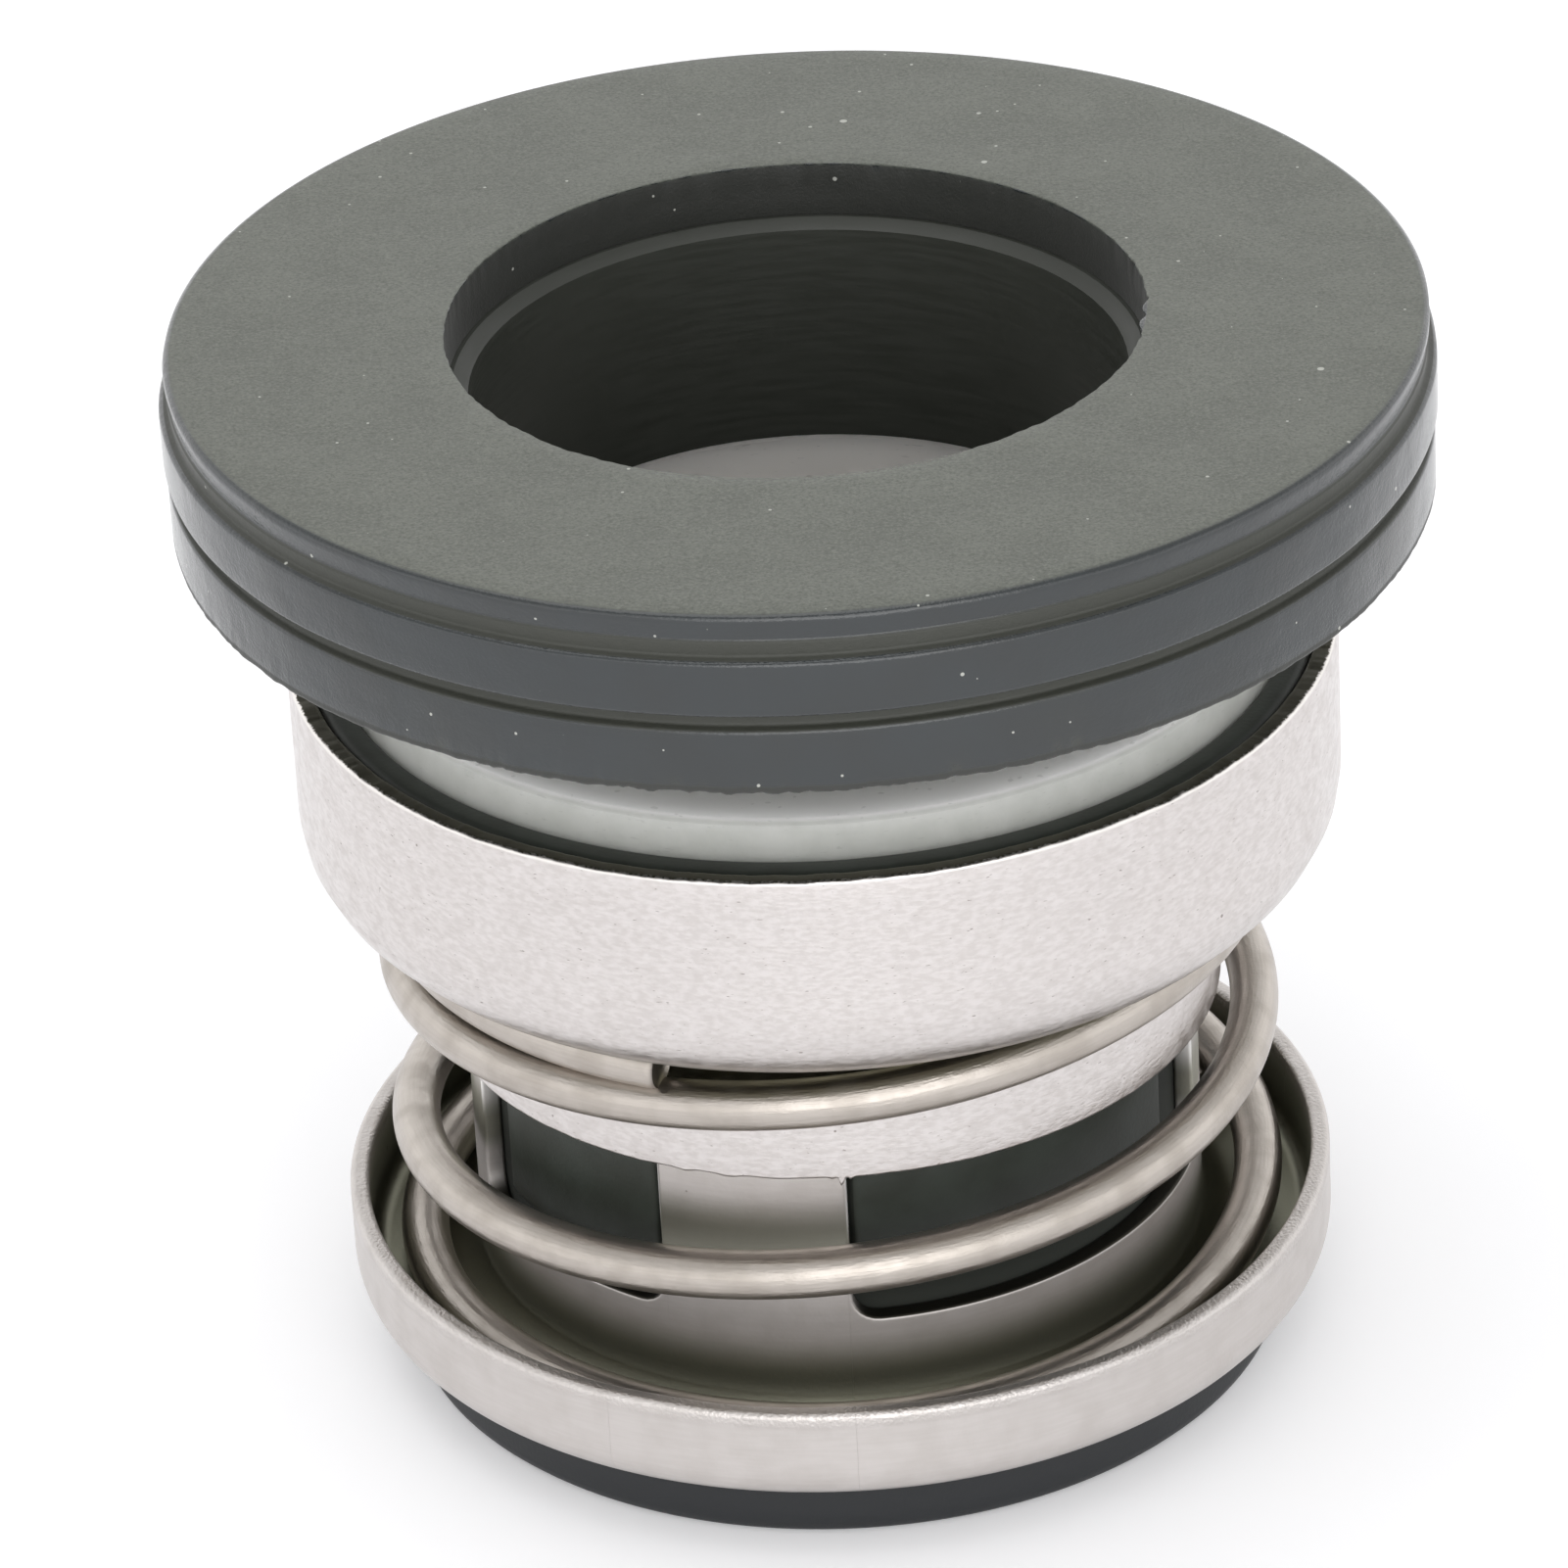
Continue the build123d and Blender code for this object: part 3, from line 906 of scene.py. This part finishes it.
@dataclass
class CoilSpring:
    """Right-handed coil spring with a closed turn at each end."""

    wire: float = 1.27
    coil_radius: float = 11.1
    low: float = 2.32
    high: float = 14.13
    start: float = -113.0
    top_turns: float = 0.783
    active_turns: float = 2.1
    bottom_turns: float = 0.737
    sides: int = 40
    rows: int = 2200
    easing: float = 0.08
    bevel_reach: float = 0.05
    bevel: float = 0.06
    travel: float = 2.5
    metal: SpringWire = field(default_factory=SpringWire)

    def centre_line(self) -> np.ndarray:
        """Centre line from the upper end down.

        Returns:
            Points of a helix: the azimuth falls evenly, and the height falls in proportion to
            the turns between the two closed ends, averaged over the easing to either side.
        """
        total = self.top_turns + self.active_turns + self.bottom_turns
        turns = np.linspace(0, total, self.rows)
        drop = np.clip((turns - self.top_turns) / self.active_turns, 0, 1)
        span = int(self.rows * self.easing / total) * 2 + 1
        padded = np.pad(drop, span // 2, mode="edge")
        drop = np.convolve(padded, np.ones(span) / span, mode="valid")
        azimuth = np.radians(self.start) - TAU * turns
        height = self.high - self.wire / 2 - drop * (self.high - self.low - self.wire)
        return about_axis(self.coil_radius, azimuth, height)

    def build(self) -> None:
        """Make the wire.

        Each point lies on a circle across the centre line: the centre plus the radius times
        the cosine of the angle outwards and its sine sideways. The ends are closed by fans,
        and the radius is smaller by the share of the bevel at the very end.
        """
        centre = self.centre_line()
        tangent = np.gradient(centre, axis=0)
        tangent /= np.linalg.norm(tangent, axis=1, keepdims=True)
        out = centre * (1, 1, 0)
        out -= (out * tangent).sum(1, keepdims=True) * tangent
        out /= np.linalg.norm(out, axis=1, keepdims=True)
        side = np.cross(tangent, out)
        length = np.concatenate([[0], np.cumsum(np.linalg.norm(np.diff(centre, axis=0), axis=1))])
        around = azimuths(self.sides)
        cosine, sine = np.cos(around), np.sin(around)
        from_end = np.minimum(length, length[-1] - length)
        radius = self.wire / 2 * (1 - self.bevel * np.clip(1 - from_end / self.bevel_reach, 0, 1) ** 2)
        spoke = out[:, None] * cosine[:, None] + side[:, None] * sine[:, None]
        points = (centre[:, None] + spoke * radius[:, None, None]).reshape(-1, 3)
        first = np.arange(self.sides)
        after = (first + 1) % self.sides
        last_row = (self.rows - 1) * self.sides
        start = np.full(self.sides, len(points))
        fans = [
            np.stack([after, first, start, start], -1),
            np.stack([last_row + first, last_row + after, start + 1, start + 1], -1),
        ]
        faces = np.concatenate([grid_faces(self.rows, self.sides, False, True), *fans])
        points = np.concatenate([points, centre[[0, -1]]])
        spring = make_piece("spring_wire", points, faces, self.metal.build(), Body.DRIVE)
        lap = np.ones((self.rows, 1)) * self.wire / 2
        along = np.stack([np.repeat(length[:, None], self.sides, 1), lap * cosine, lap * sine], -1)
        along = np.concatenate([along.reshape(-1, 3), [[0, 0, 0], [length[-1], 0, 0]]])
        attribute = spring.data.attributes.new("along", "FLOAT_VECTOR", "POINT")
        attribute.data.foreach_set("vector", along.astype(np.float32).ravel())
        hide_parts("spring")
        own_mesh(spring)


@dataclass
class Bellows:
    """Rubber bellows: foot, tail with lugs, fold and the bed of the face ring."""

    shaft_radius: float = 8.0
    tail_radius: float = 9.08
    foot_radius: float = 11.65
    foot_thickness: float = 1.8
    lug_proud: float = 0.4
    lug_low: float = 5.9
    lug_high: float = 11.2
    lug_margin: float = 0.3
    lug_margin_degrees: float = 0.8
    lugs: tuple[Pair, ...] = ((-88.9, -27.4), (24.8, 60.2), (91.4, 156.8), (-155.2, -119.5))
    columns: int = 540
    rubber: BellowsRubber = field(default_factory=BellowsRubber)

    def section(self) -> np.ndarray:
        """Section of the bellows, with the fold drawn as one wave of the wall."""
        corners = [
            (self.shaft_radius, 0.3, 0.1),
            (self.shaft_radius + 0.3, 0.0, 0.1),
            (self.foot_radius, 0.0, 0.38),
            (self.foot_radius, self.foot_thickness, 0.12),
            (self.tail_radius, self.foot_thickness, 0.1),
            (self.tail_radius, 12.3, 0.5),
            (self.tail_radius + 0.5, 13.5, 0.5),
            (self.tail_radius, 14.6, 0.1),
            (12.9, 14.68, 1.4),
            (12.95, 20.32, 0.25),
            (12.19, 20.32, 0.14),
            (12.17, 17.4, 0.05),
            (8.45, 17.4, 0.1),
            (8.3, 14.6, 0.3),
            (8.8, 13.5, 0.4),
            (8.3, 12.3, 0.3),
            (self.shaft_radius, 5.2, 0.3),
        ]
        return rounded(corners, (1.5, 0.33), arc_points=4)

    def build(self) -> None:
        """Make the bellows.

        The lugs are the tail's outside moved out where both windows, in azimuth and height,
        are open.
        """
        section = self.section()
        degrees = np.degrees(azimuths(self.columns))
        shift = np.zeros((len(section), self.columns, 2))
        outside = np.abs(section[:, 0] - self.tail_radius) < 0.02
        upright = gate(section[:, 1], self.lug_low, self.lug_high, self.lug_margin) * outside
        for first, last in self.lugs:
            middle, half = (first + last) / 2, (last - first) / 2
            off = (degrees - middle + 180) % 360 - 180
            window = gate(off, -half, half, self.lug_margin_degrees)
            shift[..., 0] += self.lug_proud * upright[:, None] * window
        bellows = turned_piece("bellows_rubber", section, shift, self.rubber.build(), None)
        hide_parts("bellows")
        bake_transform(bellows)


@dataclass
class SpringCup:
    """Pressed steel channel, in one piece with a sleeve that is notched into four tongues."""

    sheet: float = 0.5
    wall_radius: float = 13.0
    sleeve_radius: float = 9.6
    underside: float = 1.8
    rim_height: float = 4.56
    join_height: float = 4.3
    sill_height: float = 5.2
    tongue_height: float = 11.4
    tongues: tuple[float, ...] = (-104.2, 0.8, 75.8, 180.8)
    tongue_width: float = 30.0
    edge_round: float = 0.09
    side_rows: int = 20
    steel: PressedSteel = field(default_factory=PressedSteel)

    def channel(self) -> np.ndarray:
        """Open section of the channel, from the sleeve's outside over the rim to its inside."""
        inside = self.sleeve_radius - self.sheet
        floor = self.underside + self.sheet
        corners = [
            (self.sleeve_radius, self.join_height, 0.0),
            (self.sleeve_radius, floor, 1.1),
            (self.wall_radius - self.sheet, floor, 0.45),
            (self.wall_radius - self.sheet, self.rim_height, 0.16),
            (self.wall_radius, self.rim_height, 0.18),
            (self.wall_radius, self.underside, 0.95),
            (inside, self.underside, 1.6),
            (inside, self.join_height, 0.0),
        ]
        return rounded(corners, (0.2, 0.2), closed=False, arc_points=11)

    def crown(self) -> np.ndarray:
        """Upper edge of the sleeve, unrolled: distance round the sleeve and height."""
        scale = np.radians(self.sleeve_radius - self.sheet / 2)
        half = self.tongue_width / 2
        seam = (self.tongues[0] + self.tongues[-1] - 360) / 2
        corners = [(seam * scale, self.sill_height, 0.0)]
        for tongue in self.tongues:
            first, last = (tongue - half) * scale, (tongue + half) * scale
            corners += [(first, self.sill_height, 0.7), (first, self.tongue_height, 0.35)]
            corners += [(last, self.tongue_height, 0.35), (last, self.sill_height, 0.7)]
        corners.append(((seam + 360) * scale, self.sill_height, 0.0))
        return rounded(corners, (0.14, 1.2), closed=False)[:-1]

    def build(self) -> None:
        """Make the cup as one grid.

        Each point of the crown is a column. Its rows follow the channel's section, go up the
        sleeve's inside to the crown, over the sheet's rounded edge, and down the outside. The
        edge is the crown moved along its own normal by the edge's quarter circles.
        """
        crown = self.crown()
        middle = self.sleeve_radius - self.sheet / 2
        lap = np.array([TAU * middle, 0])
        tangent = np.roll(crown, -1, 0) - np.roll(crown, 1, 0)
        tangent[0] += lap
        tangent[-1] += lap
        tangent /= np.linalg.norm(tangent, axis=1, keepdims=True)
        normal = np.stack([-tangent[:, 1], tangent[:, 0]], -1)
        edge = crown - self.edge_round * normal
        quarter = np.linspace(0, np.pi / 2, 5)
        rise, inset = self.edge_round * np.sin(quarter), self.edge_round * (1 - np.cos(quarter))
        reach = np.concatenate([rise, rise[::-1]]) - self.edge_round
        half = self.sheet / 2
        across = np.concatenate([-half + inset, half - inset[::-1]])
        over = crown + reach[:, None, None] * normal
        channel = self.channel()
        share = np.linspace(0, 1, self.side_rows + 2)[1:-1]
        side = np.full(self.side_rows, half)
        radius = np.concatenate([channel[:, 0], middle - side, middle + across, middle + side])
        side_height = self.join_height + share[:, None] * (edge[:, 1] - self.join_height)
        flat_height = np.repeat(channel[:, 1:], len(crown), 1)
        height = np.concatenate([flat_height, side_height, over[..., 1], side_height[::-1]])
        turn = np.repeat(edge[None, :, 0], len(radius), 0)
        first = len(channel) + self.side_rows
        turn[first : first + len(over)] = over[..., 0]
        turn /= middle
        rim = (channel[:, 1] > self.rim_height - 0.1)[:, None]
        height[: len(channel)] += rim * waves(edge[:, 0] / middle, 2, 60, 21) * 0.008
        points = about_axis(radius[:, None], turn, height)
        faces = grid_faces(*height.shape, True, True)
        cup = make_piece("spring_cup_steel", points, faces, self.steel.build(), Body.DRIVE)
        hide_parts("spring_cup")


# ---- studio


@dataclass
class Studio:
    """White tent: pale table, soft light from all sides, a lamp overhead and one in front."""

    camera_place: tuple = (0.0, -193.169, 124.853)
    pan: float = 0.004818
    tilt: float = 0.51481
    roll: float = 0.05556
    lens: float = 196.64
    sensor: float = 36.0
    depth: Pair = (1.05, 0.9)
    level: Pair = (1.5, 0.78)
    aim: tuple = (0.0, 0.0, 12.0)
    table_reach: float = 1500.0
    table_height: float = -0.01
    table_glow: float = 0.15
    table_points: int = 13

    def stand(self, data: bpy.types.ID, axes: tuple, place: tuple) -> bpy.types.Object:
        """Put a camera or a lamp in its place.

        Args:
            data: Camera or lamp.
            axes: Unit vectors to its right, upwards and ahead.
            place: Position in millimetres.

        Returns:
            Object whose X is right, whose Y is up and whose back is Z.
        """
        right, up, ahead = axes
        matrix = np.eye(4)
        matrix[:3, 0], matrix[:3, 1], matrix[:3, 2] = right, up, -ahead
        matrix[:3, 3] = np.array(place) * MM
        thing = bpy.data.objects.new(data.name, data)
        thing.matrix_world = Matrix(matrix.tolist())
        bpy.context.scene.collection.objects.link(thing)
        return thing

    def camera(self) -> None:
        """Set the camera: turned by pan about Z, then tipped down, then rolled about its view."""
        angles = self.pan, self.tilt, self.roll
        (cp, sp), (ct, st), (cr, sr) = ((np.cos(angle), np.sin(angle)) for angle in angles)
        pan = np.array([[cp, -sp, 0], [sp, cp, 0], [0, 0, 1]])
        tip = np.array([[1, 0, 0], [0, ct, st], [0, -st, ct]])
        roll = np.array([[cr, 0, sr], [0, 1, 0], [-sr, 0, cr]])
        right, ahead, up = (pan @ tip @ roll).T
        data = bpy.data.cameras.new("camera")
        data.lens, data.sensor_width, data.sensor_fit = self.lens, self.sensor, "HORIZONTAL"
        data.clip_start, data.clip_end = 0.01, 10.0
        bpy.context.scene.camera = self.stand(data, (right, up, ahead), self.camera_place)

    def world(self) -> None:
        """Light the tent: a little brighter on the camera's side, and brighter low than high.

        The camera sees plain white instead.
        """
        world = bpy.data.worlds.new("tent")
        world.use_nodes = True
        bpy.context.scene.world = world
        tree = world.node_tree
        tree.nodes.clear()
        place = add_node(tree, "ShaderNodeTexCoord").outputs["Generated"]
        parts = add_node(tree, "ShaderNodeSeparateXYZ", {0: place}).outputs
        graded = []
        grades = ((parts[1], -1.0, 0.5, *self.depth), (parts[2], 0.3, 0.7, *self.level))
        for value, low, high, start, end in grades:
            inputs = {"Value": value, "From Min": low, "From Max": high, "To Min": start, "To Max": end}
            graded.append(add_node(tree, "ShaderNodeMapRange", inputs).outputs[0])
        product = add_node(tree, "ShaderNodeMath", dict(enumerate(graded)), operation="MULTIPLY")
        shown = {0: add_node(tree, "ShaderNodeLightPath").outputs["Is Camera Ray"]}
        for socket, strength in enumerate((product.outputs[0], 1.0), 1):
            light = {"Color": linear(WHITE), "Strength": strength}
            shown[socket] = add_node(tree, "ShaderNodeBackground", light).outputs[0]
        both = add_node(tree, "ShaderNodeMixShader", shown)
        add_node(tree, "ShaderNodeOutputWorld", {"Surface": both.outputs[0]})

    def lamp(self, name: str, place: tuple, size: float, power: float) -> None:
        """Hang one square soft lamp that points at the part."""
        data = bpy.data.lights.new(name, "AREA")
        data.shape, data.size, data.energy = "SQUARE", size * MM, power
        ahead = np.array(self.aim) - np.array(place)
        ahead /= np.linalg.norm(ahead)
        right = np.cross(ahead, (0, 0, 1) if abs(ahead[2]) < 0.95 else (0, 1, 0))
        right /= np.linalg.norm(right)
        self.stand(data, (right, np.cross(right, ahead), ahead), place)

    def table(self) -> None:
        """Lay the pale table, flat under the foot, a little brighter where it is seen."""
        s = Surface("white laminate", "f4f4f6", 0.6)
        path = s.node("ShaderNodeLightPath").outputs
        glow = s.node("ShaderNodeEmission", {"Color": linear(WHITE), "Strength": self.table_glow})
        seen = s.math("MAXIMUM", path["Is Camera Ray"], path["Is Glossy Ray"])
        lit = s.node("ShaderNodeMixShader", {0: seen, 2: glow.outputs[0]})
        sum_of_both = s.node("ShaderNodeAddShader", {0: s.shader.outputs[0], 1: lit.outputs[0]})
        s.tree.links.new(sum_of_both.outputs[0], s.output.inputs["Surface"])
        reach = np.linspace(-self.table_reach, self.table_reach, self.table_points)
        points = np.stack(np.meshgrid(reach, reach, [self.table_height], indexing="ij"), -1)
        faces = grid_faces(self.table_points, self.table_points, False, False)
        floor = make_piece("table_top", points, faces, s.material, None)

    def build(self) -> None:
        """Set the whole studio."""
        self.camera()
        self.world()
        self.lamp("overhead", place=(-60, 20, 420), size=300, power=0.3)
        self.lamp("front", place=(40, -400, 195), size=360, power=0.55)
        self.table()
        bpy.context.scene.view_settings.view_transform = "Standard"


def main() -> None:
    """Build the seal from the top down, then the studio."""
    logging.basicConfig(level=logging.INFO)
    for assembly in (StationarySeat(), RotaryHead(), CoilSpring(), Bellows(), SpringCup(), Studio()):
        assembly.build()
        LOG.info("%s done", type(assembly).__name__)


if __name__ == "__main__":
    main()
